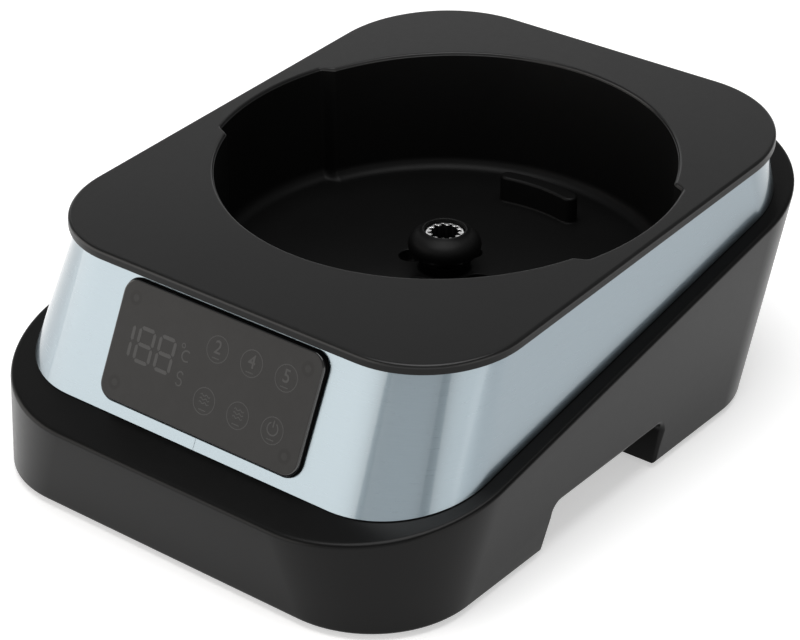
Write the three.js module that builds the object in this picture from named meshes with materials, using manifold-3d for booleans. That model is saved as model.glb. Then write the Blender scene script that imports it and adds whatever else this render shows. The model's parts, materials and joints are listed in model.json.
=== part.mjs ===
// Low powered base of a kitchen machine: a round well with a splined drive coupling in its floor,
// a sloping deck, a steel band with a touch panel, and a black base with two hand-holds.
// Millimetres, +X right, +Y back, +Z up. Shapes are drawn about the well's vertical axis with
// Z = 0 at the base's bottom edge, and the whole group is then set on its four feet.
import * as THREE from 'three';
import { mergeVertices } from 'three/addons/utils/BufferGeometryUtils.js';
import Module from 'manifold-3d';

const wasm = await Module();
wasm.setup();

// Where the well's axis stands in the finished frame, and how far the feet stand out below.
const WELL_AXIS_Y = 19.4;
const FOOT_HEIGHT = 2;

// Sloping planes, as the height on the well's axis and the rise per millimetre towards the back.
const DECK_PLANE = { height: 87.2, rise: 0.051 };
const LEDGE_PLANE = { height: 57.9, rise: 0.182 };

// Outlines seen from above: half width, front and back edges, corner radii.
const DECK = { half: 89.7, front: -115, back: 101.4, frontRadius: 36.4, backRadius: 44.5 };
const BAND_TOP = { half: 86.6, front: -111.4, back: 99, frontRadius: 32.9, backRadius: 41.9 };
const BAND_FOOT = { half: 91.2, front: -132.3, back: 95, frontRadius: 35.4, backRadius: 38 };
const LEDGE = { half: 97.2, front: -148.6, back: 109.8, frontRadius: 52.9, backRadius: 52.4 };
const BASE_FOOT = { half: 92.4, front: -146.2, back: 78, frontRadius: 37.6, backRadius: 37.6 };

// Thicknesses and the gap kept between neighbouring pieces.
const GAP = 0.3;
const SHELL_WALL = 3;
const STEEL = 0.6;
const CARRIER_WALL = 2;
const DECK_EDGE = 3.4;
const DECK_SKIN = 2.6;
const COVER = 2.5;
const LEDGE_OPENING_INSET = 4.5;
const DECK_RIM = 7;

// The well, its two shallow side channels and the two lugs on its floor.
const WELL_RADIUS = 80;
const WELL_FOOT_RADIUS = 79.5;
const WELL_FLOOR = 44;
const WELL_FILLET = 4.5;
const WELL_SKIN = 2.4;
const CHANNEL_DEPTH = 3.6;
const CHANNEL_SKIN = 1.7;
const CHANNEL_HALF_ANGLE = 20.5;
const LUG = { inner: 55, outer: 61, halfAngle: 13.5, height: 10 };

// The middle of the well floor: a thick boss with a neck and four deep screw holes.
const BOSS = { radius: 22, bottom: 32 };
const NECK = { radius: 9.1, top: 48, bore: 6.6 };
const SCREW_HOLE = { circle: 14.6, radius: 4.5, seat: 35, clearance: 1.9 };

// Spindle: shaft, coupling and its rubber boot.
const SHAFT_RADIUS = 3;
const SPLINE = { outer: 6.9, root: 5.7, tip: 4.6, teeth: 12, bottom: 48.6, floor: 51.4, top: 58.4 };
const BOOT = { bore: 7.1, radius: 13, bottom: 48.5, top: 59.3 };

// Motor under the well floor.
const BRACKET = { radius: 32, bottom: 29.2, top: 31.7 };
const BEARING_TUBE = { outer: 10.5, inner: 7.8, bottom: 11 };
const BEARING = { outer: 7.5, width: 5, bore: 3.2 };
const STATOR = { inner: 10.8, yoke: 16, shoe: 27.3, tip: 30, bottom: 14, top: 25, teeth: 6, toothWidth: 7 };
const COIL = { start: 17.4, end: 26, thick: 2.6 };
const MAGNET = { inner: 31, outer: 34.6, bottom: 12, top: 27 };
const BELL = { outer: 36.9, bottom: 5, floor: 7.6, top: 27.2 };
const FAN = { inner: 37.3, hub: 39, outer: 54, bottom: 6, top: 20, blades: 11 };

// Hand-hold pockets in both sides of the base.
const POCKET = { frontFoot: -71, frontTop: -64, backFoot: -4, backTop: 0, top: 16, inner: 66, round: 4 };

// Touch panel on the leaning front of the band: x across, y up the face, z out of the face.
const PANEL = { width: 85.5, height: 42, radius: 6, bottom: 4.5 };
const PANEL_BODY = { width: 81.5, height: 38, radius: 4, depth: 9, wall: 1.5 };
const LENS = { back: 0.9, front: 2.1 };
const FLANGE = { back: GAP, front: 0.7 };
const BOARD = { width: 77.5, height: 34, back: -7, front: -5.4 };
const KEYS = { columns: [0.8, 15, 29.3], rows: [17.2, 34.5], radius: 3.6 };
const PANEL_SCREW = { x: 36.3, rows: [11, 39.8], head: 1.9, headHeight: 1.5, shank: 0.01 };
const DIGITS = { x: -23.7, y: 26, width: 24, height: 16, front: 0.5 };
const SPRING = { turns: 2.5, taper: 0.9, wire: 0.35, bottom: -4.8, top: 0.2 };

// Power board in the front of the base.
const POWER_BOARD = { x: 0, y: -114, width: 110, length: 36, bottom: 8, thick: 1.6 };

// Mains inlet in a vertical housing on the leaning back wall.
const INLET = { x: -28, z: 21, width: 27, height: 19.6, depth: 20, face: 93, wall: 1.6 };
const INLET_HOUSING = { width: 37, height: 29 };
const INLET_FLANGE = { width: 31, height: 23.6, thick: 1.6 };
const PIN = { width: 4, thick: 2, length: 10, spread: 7, step: 4 };

// Feet and the four screws that hold the bottom cover.
const FOOT = { radius: 8, recess: 0.9 };
const FOOT_PLACES = [[-62, -126], [62, -126], [-60, 52], [60, 52]];
const COVER_SCREW_PLACES = [[-76, -129.8], [76, -129.8], [-76, 61.6], [76, 61.6]];
const COVER_PAD = { radius: 5.5, top: 5.2 };
const SCREW_BOSS = { radius: 7, bottom: 5.5, top: 17 };
const COVER_SCREW = { head: 3.1, headBottom: 1.4, headTop: 3.4, shank: 1.5, tip: 12 };
const MOTOR_SCREW = { head: 3.4, headTop: 37.6, shank: 1.5, tip: 28.6 };

const CORNER_STEPS = 8;
const ROUND_STEPS = 72;

const blackPlastic = new THREE.MeshStandardMaterial({ color: 0x1b1b1d, roughness: 0.55, metalness: 0 });
const deckPlastic = new THREE.MeshStandardMaterial({ color: 0x26262a, roughness: 0.6, metalness: 0 });
const brushedSteel = new THREE.MeshStandardMaterial({ color: 0xaeb9c4, roughness: 0.3, metalness: 1 });
const brightSteel = new THREE.MeshStandardMaterial({ color: 0xd5d8da, roughness: 0.25, metalness: 1 });
const smokedAcrylic = new THREE.MeshStandardMaterial({ color: 0x2b2c2e, roughness: 0.2, metalness: 0 });
const blackRubber = new THREE.MeshStandardMaterial({ color: 0x101011, roughness: 0.7, metalness: 0 });
const greenBoard = new THREE.MeshStandardMaterial({ color: 0x1f5a35, roughness: 0.5, metalness: 0 });
const copper = new THREE.MeshStandardMaterial({ color: 0xb5622e, roughness: 0.4, metalness: 1 });
const laminate = new THREE.MeshStandardMaterial({ color: 0x5d6064, roughness: 0.5, metalness: 1 });
const ferrite = new THREE.MeshStandardMaterial({ color: 0x2d2d2f, roughness: 0.7, metalness: 0 });
const greyPlastic = new THREE.MeshStandardMaterial({ color: 0x77797c, roughness: 0.6, metalness: 0 });

const radians = (degrees) => degrees * Math.PI / 180;
const level = (z) => () => z;
const onPlane = (plane, drop = 0) => (x, y) => plane.height + plane.rise * y - drop;

// ---- Joining and cutting ----

function toSolid(geometry) {
  const plain = geometry.clone();
  plain.deleteAttribute('normal');
  plain.deleteAttribute('uv');
  const merged = mergeVertices(plain, 1e-4);
  const corners = merged.index.array;
  const kept = [];
  for (let i = 0; i < corners.length; i += 3) {
    const [a, b, c] = [corners[i], corners[i + 1], corners[i + 2]];
    if (a !== b && b !== c && c !== a) kept.push(a, b, c);
  }
  const vertProperties = new Float32Array(merged.attributes.position.array);
  return new wasm.Manifold(new wasm.Mesh({ numProp: 3, vertProperties, triVerts: new Uint32Array(kept) }));
}

function toGeometry(solid) {
  const mesh = solid.getMesh();
  const geometry = new THREE.BufferGeometry();
  geometry.setAttribute('position', new THREE.BufferAttribute(new Float32Array(mesh.vertProperties), 3));
  geometry.setIndex(new THREE.BufferAttribute(new Uint32Array(mesh.triVerts), 1));
  geometry.computeVertexNormals();
  return geometry;
}

const join = (...solids) => solids.reduce((sum, solid) => sum.add(solid));
const cut = (solid, ...tools) => tools.reduce((left, tool) => left.subtract(tool), solid);

// ---- Basic shapes ----

// Points of a rectangle with round corners, anticlockwise from above, moved in by inset.
function roundedOutline(shape, inset = 0) {
  const half = shape.half - inset;
  const front = shape.front + inset;
  const back = shape.back - inset;
  const frontRadius = Math.max(shape.frontRadius - inset, 1);
  const backRadius = Math.max(shape.backRadius - inset, 1);
  const corners = [
    [half - frontRadius, front + frontRadius, frontRadius, -90],
    [half - backRadius, back - backRadius, backRadius, 0],
    [-half + backRadius, back - backRadius, backRadius, 90],
    [-half + frontRadius, front + frontRadius, frontRadius, 180],
  ];
  const points = [];
  for (const [x, y, radius, start] of corners) {
    for (let i = 0; i <= CORNER_STEPS; i += 1) {
      const angle = radians(start + 90 * i / CORNER_STEPS);
      points.push([x + radius * Math.cos(angle), y + radius * Math.sin(angle)]);
    }
  }
  return points;
}

// Closed solid through outlines with equal numbers of points, each lifted by its own height rule.
function loft(sections) {
  const count = sections[0].outline.length;
  const positions = [];
  for (const { outline, height } of sections) {
    for (const [x, y] of outline) positions.push(x, y, height(x, y));
  }
  const index = [];
  for (let s = 0; s < sections.length - 1; s += 1) {
    for (let i = 0; i < count; i += 1) {
      const next = (i + 1) % count;
      const low = s * count;
      const high = low + count;
      index.push(low + i, low + next, high + next, low + i, high + next, high + i);
    }
  }
  const capPoint = (section) => {
    const { outline, height } = section;
    const x = outline.reduce((sum, point) => sum + point[0], 0) / count;
    const y = outline.reduce((sum, point) => sum + point[1], 0) / count;
    positions.push(x, y, height(x, y));
    return positions.length / 3 - 1;
  };
  const bottom = capPoint(sections[0]);
  const top = capPoint(sections[sections.length - 1]);
  const last = (sections.length - 1) * count;
  for (let i = 0; i < count; i += 1) {
    const next = (i + 1) % count;
    index.push(bottom, next, i, top, last + i, last + next);
  }
  const geometry = new THREE.BufferGeometry();
  geometry.setAttribute('position', new THREE.Float32BufferAttribute(positions, 3));
  geometry.setIndex(index);
  return geometry;
}

// Solid of revolution about Z from an anticlockwise profile of [radius, height] points.
function lathe(profile, steps = ROUND_STEPS) {
  const points = profile.map(([radius, height]) => new THREE.Vector2(radius, height));
  return new THREE.LatheGeometry(points, steps).rotateX(Math.PI / 2);
}

const rod = (radius, bottom, top, steps = 20) =>
  lathe([[0, bottom], [radius, bottom], [radius, top], [0, top]], steps);

const tube = (inner, outer, bottom, top, steps = 24) =>
  lathe([[inner, bottom], [outer, bottom], [outer, top], [inner, top], [inner, bottom]], steps);

function block(width, length, height, x, y, z) {
  return new THREE.BoxGeometry(width, length, height).translate(x, y, z + height / 2);
}

function roundedPlate(width, height, radius, back, front, steps = 4) {
  const x = width / 2;
  const y = height / 2;
  const shape = new THREE.Shape();
  shape.moveTo(-x + radius, -y);
  shape.lineTo(x - radius, -y);
  shape.absarc(x - radius, -y + radius, radius, -Math.PI / 2, 0);
  shape.absarc(x - radius, y - radius, radius, 0, Math.PI / 2);
  shape.absarc(-x + radius, y - radius, radius, Math.PI / 2, Math.PI);
  shape.absarc(-x + radius, -y + radius, radius, Math.PI, Math.PI * 1.5);
  const options = { depth: front - back, bevelEnabled: false, curveSegments: steps };
  return new THREE.ExtrudeGeometry(shape, options).translate(0, 0, back);
}

const at = (geometry, x, y, z = 0) => geometry.translate(x, y, z);

function screw({ head, headBottom, headTop, shank, tip }) {
  const low = Math.min(headBottom, tip);
  const high = Math.max(headTop, tip);
  const pointsUp = tip > headTop;
  const profile = pointsUp
    ? [[0, headBottom], [head, headBottom], [head, headTop], [shank, headTop], [shank, high], [0, high]]
    : [[0, low], [shank, low], [shank, headBottom], [head, headBottom], [head, headTop], [0, headTop]];
  return lathe(profile, 12);
}

function named(name, geometry, material) {
  const mesh = new THREE.Mesh(geometry, material);
  mesh.name = name;
  return mesh;
}

const solidMesh = (name, solid, material) => named(name, toGeometry(solid), material);

// ---- Black base ----

function pocketPrism(grow, inner, outer) {
  const { frontFoot, frontTop, backFoot, backTop, top, round } = POCKET;
  const radius = round + grow;
  const shape = new THREE.Shape();
  shape.moveTo(frontFoot - grow, -5);
  shape.lineTo(backFoot + grow, -5);
  shape.lineTo(backTop + grow, top + grow - radius);
  shape.quadraticCurveTo(backTop + grow, top + grow, backTop + grow - radius, top + grow);
  shape.lineTo(frontTop - grow + radius, top + grow);
  shape.quadraticCurveTo(frontTop - grow, top + grow, frontTop - grow - 0.5, top + grow - radius);
  const options = { depth: outer - inner, bevelEnabled: false, curveSegments: 4 };
  const prism = new THREE.ExtrudeGeometry(shape, options);
  prism.applyMatrix4(new THREE.Matrix4().set(0, 0, 1, inner, 1, 0, 0, 0, 0, 1, 0, 0, 0, 0, 0, 1));
  return toSolid(prism);
}

function bothSides(solid) {
  return join(solid, solid.mirror([1, 0, 0]));
}

function baseShell() {
  const outer = toSolid(loft([
    { outline: roundedOutline(BASE_FOOT), height: level(0) },
    { outline: roundedOutline(LEDGE), height: onPlane(LEDGE_PLANE) },
  ]));
  const inner = toSolid(loft([
    { outline: roundedOutline(BASE_FOOT, SHELL_WALL), height: level(0) },
    { outline: roundedOutline(LEDGE, SHELL_WALL), height: onPlane(LEDGE_PLANE, SHELL_WALL) },
  ]));
  const below = toSolid(loft([
    { outline: roundedOutline(BASE_FOOT, SHELL_WALL), height: level(-4) },
    { outline: roundedOutline(BASE_FOOT, SHELL_WALL), height: level(0.01) },
  ]));
  const opening = toSolid(loft([
    { outline: roundedOutline(BAND_FOOT, LEDGE_OPENING_INSET), height: onPlane(LEDGE_PLANE, 12) },
    { outline: roundedOutline(BAND_FOOT, LEDGE_OPENING_INSET), height: onPlane(LEDGE_PLANE, -4) },
  ]));
  const bosses = COVER_SCREW_PLACES.map(([x, y]) =>
    toSolid(at(rod(SCREW_BOSS.radius, SCREW_BOSS.bottom, SCREW_BOSS.top), x, y)));
  const threads = COVER_SCREW_PLACES.map(([x, y]) =>
    toSolid(at(rod(COVER_SCREW.shank + 0.1, SCREW_BOSS.bottom - 1, COVER_SCREW.tip + 1, 12), x, y)));
  const { x, z, width, height, face } = INLET;
  const housing = toSolid(block(INLET_HOUSING.width, 26, INLET_HOUSING.height,
    x, face - 13, z - INLET_HOUSING.height / 2));
  const housingHollow = toSolid(block(INLET_HOUSING.width - 5, 25, INLET_HOUSING.height - 5,
    x, face - 2.5 - 12.5, z - INLET_HOUSING.height / 2 + 2.5));
  const socketHole = toSolid(block(width + 0.6, 40, height + 0.6, x, face, z - height / 2 - 0.3));
  const pocketWalls = bothSides(pocketPrism(2.5, POCKET.inner - 2.5, LEDGE.half + 5)).intersect(outer);
  const pockets = bothSides(pocketPrism(0, POCKET.inner, LEDGE.half + 5));
  const floorLevel = toSolid(block(300, 400, 10, 0, 0, -10));
  const shell = cut(outer, inner, below, opening);
  const lower = join(shell, pocketWalls, ...bosses.map((boss) => boss.intersect(outer)), housing);
  return cut(lower, housingHollow, socketHole, pockets, floorLevel, ...threads);
}

function bottomCover() {
  const plate = toSolid(loft([
    { outline: roundedOutline(BASE_FOOT, SHELL_WALL + GAP), height: level(0) },
    { outline: roundedOutline(BASE_FOOT, SHELL_WALL + GAP), height: level(COVER) },
  ]));
  const pads = COVER_SCREW_PLACES.map(([x, y]) =>
    toSolid(at(rod(COVER_PAD.radius, 0, COVER_PAD.top), x, y)).intersect(
      toSolid(loft([
        { outline: roundedOutline(BASE_FOOT, SHELL_WALL + GAP), height: level(0) },
        { outline: roundedOutline(BASE_FOOT, SHELL_WALL + GAP), height: level(COVER_PAD.top) },
      ]))));
  const standoffs = powerBoardCorners().map(([x, y]) =>
    toSolid(at(rod(3, 1, POWER_BOARD.bottom - GAP), x, y)));
  const heads = COVER_SCREW_PLACES.map(([x, y]) =>
    toSolid(at(rod(COVER_SCREW.head + 0.3, -1, COVER_SCREW.headTop + 0.2, 16), x, y)));
  const shanks = COVER_SCREW_PLACES.map(([x, y]) =>
    toSolid(at(rod(COVER_SCREW.shank + 0.3, 0, 8, 12), x, y)));
  const recesses = FOOT_PLACES.map(([x, y]) => toSolid(at(rod(FOOT.radius + 0.2, -1, FOOT.recess), x, y)));
  const slots = [];
  for (let i = -4; i <= 4; i += 1) {
    slots.push(toSolid(at(roundedPlate(4, 44, 1.9, -1, COVER + 1, 2), i * 9, 0)));
  }
  const pockets = bothSides(pocketPrism(2.5 + GAP, POCKET.inner - 2.5 - GAP, LEDGE.half + 5));
  return cut(join(plate, ...pads, ...standoffs), ...heads, ...shanks, ...recesses, ...slots, pockets);
}

// ---- Steel band and the frame inside it ----

function bandRing(inset, wall) {
  const foot = (extra, low) => ({ outline: roundedOutline(BAND_FOOT, extra), height: onPlane(LEDGE_PLANE, low) });
  const rim = (extra, low) => ({ outline: roundedOutline(BAND_TOP, extra), height: onPlane(DECK_PLANE, low) });
  const overrun = 3;
  const inner = inset + wall;
  const outerSolid = toSolid(loft([foot(inset, -GAP), rim(inset, DECK_EDGE + GAP)]));
  const innerSolid = toSolid(loft([
    foot(inner, overrun), foot(inner, -GAP), rim(inner, DECK_EDGE + GAP), rim(inner, DECK_EDGE - overrun),
  ]));
  return cut(outerSolid, innerSolid);
}

function panelOpening(clearance) {
  const opening = roundedPlate(PANEL_BODY.width + clearance, PANEL_BODY.height + clearance,
    PANEL_BODY.radius, -20, 5);
  const centre = new THREE.Group();
  placeOnFace(centre);
  centre.updateMatrixWorld(true);
  opening.translate(0, PANEL.bottom + PANEL.height / 2, 0);
  opening.applyMatrix4(centre.matrixWorld);
  return toSolid(opening);
}

const steelBand = () => cut(bandRing(0, STEEL), panelOpening(2 * GAP));

function bandFrame() {
  const wellRelief = toSolid(rod(WELL_RADIUS + CHANNEL_DEPTH + CHANNEL_SKIN + 0.9, 0, 120, ROUND_STEPS));
  return cut(bandRing(STEEL + GAP, CARRIER_WALL), panelOpening(2 * GAP), wellRelief);
}

// ---- Deck with the well ----

// Circle with two wider sectors on the left and right.
function wellOutline(radius, depth, halfAngle) {
  const points = [];
  const arc = (from, to, size, steps) => {
    for (let i = 0; i <= steps; i += 1) {
      const angle = radians(from + (to - from) * i / steps);
      points.push([size * Math.cos(angle), size * Math.sin(angle)]);
    }
  };
  arc(-halfAngle, halfAngle, radius + depth, 9);
  arc(halfAngle + 1, 179 - halfAngle, radius, 30);
  arc(180 - halfAngle, 180 + halfAngle, radius + depth, 9);
  arc(181 + halfAngle, 359 - halfAngle, radius, 30);
  return points;
}

function wellCavity() {
  const sections = [];
  for (let angle = 0; angle <= 90; angle += 22.5) {
    const inset = WELL_FILLET * (1 - Math.sin(radians(angle)));
    const z = WELL_FLOOR + WELL_FILLET * (1 - Math.cos(radians(angle)));
    sections.push({
      outline: wellOutline(WELL_FOOT_RADIUS - inset, CHANNEL_DEPTH, CHANNEL_HALF_ANGLE),
      height: level(z),
    });
  }
  sections.push({
    outline: wellOutline(WELL_RADIUS, CHANNEL_DEPTH, CHANNEL_HALF_ANGLE),
    height: onPlane(DECK_PLANE, -2),
  });
  return toSolid(loft(sections));
}

function wellBowl() {
  const chamfer = 6;
  const bottom = WELL_FLOOR - 3;
  const outline = (inset) =>
    wellOutline(WELL_RADIUS + WELL_SKIN - inset, CHANNEL_DEPTH + CHANNEL_SKIN - WELL_SKIN,
      CHANNEL_HALF_ANGLE + 2);
  return toSolid(loft([
    { outline: outline(chamfer), height: level(bottom) },
    { outline: outline(0), height: level(bottom + chamfer) },
    { outline: outline(0), height: onPlane(DECK_PLANE, 1) },
  ]));
}

function lug(direction) {
  const { inner, outer, halfAngle, height } = LUG;
  const from = radians(direction - halfAngle);
  const to = radians(direction + halfAngle);
  const middle = (inner + outer) / 2;
  const end = (outer - inner) / 2;
  const shape = new THREE.Shape();
  shape.absarc(0, 0, outer, from, to, false);
  shape.absarc(middle * Math.cos(to), middle * Math.sin(to), end, to, to + Math.PI, false);
  shape.absarc(0, 0, inner, to, from, true);
  shape.absarc(middle * Math.cos(from), middle * Math.sin(from), end, from + Math.PI, from + 2 * Math.PI);
  const options = { depth: height + 1, bevelEnabled: false, curveSegments: 8 };
  return toSolid(new THREE.ExtrudeGeometry(shape, options).translate(0, 0, WELL_FLOOR - 1));
}

function screwCircle(make) {
  const pieces = [];
  for (let i = 0; i < 4; i += 1) {
    const angle = Math.PI / 2 * i;
    pieces.push(make(SCREW_HOLE.circle * Math.cos(angle), SCREW_HOLE.circle * Math.sin(angle), i));
  }
  return pieces;
}

function topHousing() {
  const slab = toSolid(loft([
    { outline: roundedOutline(DECK), height: onPlane(DECK_PLANE, DECK_EDGE) },
    { outline: roundedOutline(DECK), height: onPlane(DECK_PLANE) },
  ]));
  const underside = toSolid(loft([
    { outline: roundedOutline(DECK, DECK_RIM), height: onPlane(DECK_PLANE, DECK_EDGE + 4) },
    { outline: roundedOutline(DECK, DECK_RIM), height: onPlane(DECK_PLANE, DECK_SKIN) },
  ]));
  const boss = toSolid(rod(BOSS.radius, BOSS.bottom, WELL_FLOOR - 1, 48));
  const neck = toSolid(rod(NECK.radius, WELL_FLOOR - 1, NECK.top, 48));
  const bore = toSolid(rod(NECK.bore, BOSS.bottom - 1, NECK.top + 1, 32));
  const holes = screwCircle((x, y) => join(
    toSolid(at(rod(SCREW_HOLE.radius, SCREW_HOLE.seat, WELL_FLOOR + 0.01), x, y)),
    toSolid(at(rod(SCREW_HOLE.clearance, BOSS.bottom - 1, SCREW_HOLE.seat + 1, 12), x, y)),
  ));
  const bowl = join(cut(slab, underside), wellBowl());
  const floorParts = [boss, neck, lug(90), lug(270)];
  return cut(join(cut(bowl, wellCavity()), ...floorParts), bore, ...holes);
}

// ---- Touch panel, built in the plane of the band's leaning front ----

// The front face leans back: its foot and top edges fix the tilt.
function placeOnFace(group) {
  const footY = BAND_FOOT.front;
  const footZ = LEDGE_PLANE.height + LEDGE_PLANE.rise * footY;
  const topY = BAND_TOP.front;
  const topZ = DECK_PLANE.height + DECK_PLANE.rise * topY - DECK_EDGE;
  group.position.set(0, footY, footZ);
  group.rotation.x = Math.atan2(topZ - footZ, topY - footY);
}

function panelHousing() {
  const { width, height, radius, depth, wall } = PANEL_BODY;
  const flange = toSolid(roundedPlate(PANEL.width, PANEL.height, PANEL.radius, FLANGE.back, FLANGE.front));
  const body = toSolid(roundedPlate(width, height, radius, -depth, FLANGE.front));
  const hollow = toSolid(roundedPlate(width - 2 * wall, height - 2 * wall, 1.5, wall - depth, 3));
  const cable = toSolid(block(16, 5, 6, 0, -11, -depth - 2));
  return cut(join(flange, body), hollow, cable);
}

function touchSpring() {
  const { turns, taper, bottom } = SPRING;
  const coil = new THREE.Curve();
  const rise = SPRING.top - bottom;
  coil.getPoint = (t, target = new THREE.Vector3()) => {
    const angle = 2 * Math.PI * turns * t;
    const radius = KEYS.radius - taper * t;
    return target.set(radius * Math.cos(angle), radius * Math.sin(angle), bottom + rise * t);
  };
  const wire = new THREE.Shape();
  wire.absarc(0, 0, SPRING.wire, 0, 2 * Math.PI);
  return new THREE.ExtrudeGeometry(wire, { steps: 20, curveSegments: 2, extrudePath: coil });
}

function touchPanel() {
  const panel = new THREE.Group();
  placeOnFace(panel);
  const centreY = PANEL.bottom + PANEL.height / 2;
  const add = (mesh, x, y) => {
    mesh.position.set(x, y, 0);
    panel.add(mesh);
  };
  const lens = roundedPlate(PANEL.width, PANEL.height, PANEL.radius, LENS.back, LENS.front, 6);
  const board = roundedPlate(BOARD.width, BOARD.height, 1, BOARD.back, BOARD.front, 2);
  const digits = roundedPlate(DIGITS.width, DIGITS.height, 1, BOARD.front + GAP, DIGITS.front, 2);
  add(solidMesh('panel_housing', panelHousing(), blackPlastic), 0, centreY);
  add(named('panel_lens', lens, smokedAcrylic), 0, centreY);
  add(named('display_board', board, greenBoard), 0, centreY);
  add(named('digit_display', digits, greyPlastic), DIGITS.x, DIGITS.y);
  let key = 0;
  for (const y of KEYS.rows) {
    for (const x of KEYS.columns) {
      key += 1;
      add(named(`touch_spring_${key}`, touchSpring(), brightSteel), x, y);
    }
  }
  let count = 0;
  for (const y of PANEL_SCREW.rows) {
    for (const side of [-1, 1]) {
      count += 1;
      const bolt = screw({
        head: PANEL_SCREW.head, headBottom: BOARD.front + GAP,
        headTop: BOARD.front + GAP + PANEL_SCREW.headHeight,
        shank: PANEL_SCREW.shank, tip: BOARD.front + GAP,
      });
      add(named(`panel_screw_${count}`, bolt, brightSteel), side * PANEL_SCREW.x, y);
    }
  }
  return panel;
}

// ---- Motor and spindle ----

function motorBracket() {
  const plate = toSolid(tube(SHAFT_RADIUS + 1, BRACKET.radius, BRACKET.bottom, BRACKET.top, 48));
  const collar = toSolid(tube(BEARING_TUBE.inner, BEARING_TUBE.outer, BEARING_TUBE.bottom, BRACKET.bottom + 1));
  const holes = screwCircle((x, y) =>
    toSolid(at(rod(MOTOR_SCREW.shank + 0.2, BRACKET.bottom - 1, BRACKET.top + 1, 12), x, y)));
  return cut(join(plate, collar), ...holes);
}

function stator() {
  const { inner, yoke, shoe, tip, bottom, top, teeth, toothWidth } = STATOR;
  let core = toSolid(tube(inner, yoke, bottom, top, 36));
  const face = cut(toSolid(rod(tip, bottom, top, 72)), toSolid(rod(shoe, bottom - 1, top + 1, 48)));
  for (let i = 0; i < teeth; i += 1) {
    const angle = 2 * Math.PI * i / teeth;
    const tooth = block(tip - inner - 1.6, toothWidth, top - bottom, (tip + inner) / 2, 0, bottom);
    const shoeSpan = block(10, 22, top - bottom, tip - 3, 0, bottom);
    core = join(core, toSolid(tooth.rotateZ(angle)), face.intersect(toSolid(shoeSpan.rotateZ(angle))));
  }
  return core;
}

function coil(index) {
  const { bottom, top, teeth, toothWidth } = STATOR;
  const length = COIL.end - COIL.start;
  const inside = toothWidth + 2 * GAP;
  const high = top - bottom + 2 * GAP;
  const x = (COIL.start + COIL.end) / 2;
  const outer = block(length, inside + 2 * COIL.thick, high + 2 * COIL.thick, x, 0, bottom - GAP - COIL.thick);
  const hole = block(length + 2, inside, high, x, 0, bottom - GAP);
  const winding = cut(toSolid(outer), toSolid(hole));
  return toGeometry(winding).rotateZ(2 * Math.PI * index / teeth);
}

function rotorBell() {
  const { outer, bottom, floor, top } = BELL;
  const magnetSeat = MAGNET.outer + GAP;
  const hub = 5.5;
  const bell = toSolid(lathe([
    [SHAFT_RADIUS + 0.1, bottom], [outer, bottom], [outer, top], [magnetSeat, top],
    [magnetSeat, floor], [hub, floor], [hub, floor + 2.4], [SHAFT_RADIUS + 0.1, floor + 2.4],
    [SHAFT_RADIUS + 0.1, bottom],
  ], 48));
  const windows = [];
  for (let i = 0; i < 6; i += 1) {
    const window = at(rod(5, bottom - 1, floor + 1, 12), 22, 0).rotateZ(Math.PI / 3 * i);
    windows.push(toSolid(window));
  }
  return cut(bell, ...windows);
}

function fanWheel() {
  const { inner, hub, outer, bottom, top, blades } = FAN;
  let wheel = toSolid(lathe([
    [inner, bottom], [outer, bottom], [outer, bottom + 1.6], [hub, bottom + 1.6],
    [hub, top], [inner, top], [inner, bottom],
  ], 66));
  for (let i = 0; i < blades; i += 1) {
    const blade = block(outer - hub + 0.6, 1.6, top - bottom, 0, 0, bottom);
    blade.rotateZ(radians(-28));
    blade.translate((outer + hub) / 2 - 0.4, 2.6, 0);
    blade.rotateZ(2 * Math.PI * i / blades);
    const limit = toSolid(rod(outer, bottom, top, 66));
    const keepOut = toSolid(rod(inner + 0.4, bottom - 1, top + 1, 66));
    wheel = join(wheel, cut(toSolid(blade).intersect(limit), keepOut));
  }
  return wheel;
}

function splineSocket() {
  const { outer, root, tip, teeth, bottom, floor, top } = SPLINE;
  const sleeve = toSolid(lathe([
    [SHAFT_RADIUS + 0.1, bottom], [outer, bottom], [outer, top], [0, top], [0, floor],
    [SHAFT_RADIUS + 0.1, floor], [SHAFT_RADIUS + 0.1, bottom],
  ], 48));
  const shape = new THREE.Shape();
  const half = Math.PI / teeth;
  for (let i = 0; i < teeth; i += 1) {
    const angle = 2 * half * i;
    for (const [size, turn] of [[tip, -0.8], [tip, -0.35], [root, -0.2], [root, 0.55]]) {
      const x = size * Math.cos(angle + half * turn);
      const y = size * Math.sin(angle + half * turn);
      if (i === 0 && turn === -0.8) shape.moveTo(x, y);
      else shape.lineTo(x, y);
    }
  }
  const options = { depth: top - floor + 1, bevelEnabled: false };
  const socket = new THREE.ExtrudeGeometry(shape, options).translate(0, 0, floor + 0.6);
  return cut(sleeve, toSolid(socket));
}

function couplingBoot() {
  const { bore, radius, bottom, top } = BOOT;
  const middle = bottom + 4.6;
  const profile = [[bore, bottom], [radius - 3.4, bottom]];
  for (let angle = -60; angle <= 75; angle += 22.5) {
    const swell = radians(angle);
    const height = angle < 0 ? middle - bottom - 0.5 : top - 0.5 - middle;
    profile.push([radius - 4.6 + 4.6 * Math.cos(swell), middle + height * Math.sin(swell)]);
  }
  profile.push([bore + 1, top - 0.5], [bore + 0.7, top], [bore, top], [bore, bottom]);
  return lathe(profile, 32);
}

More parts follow.
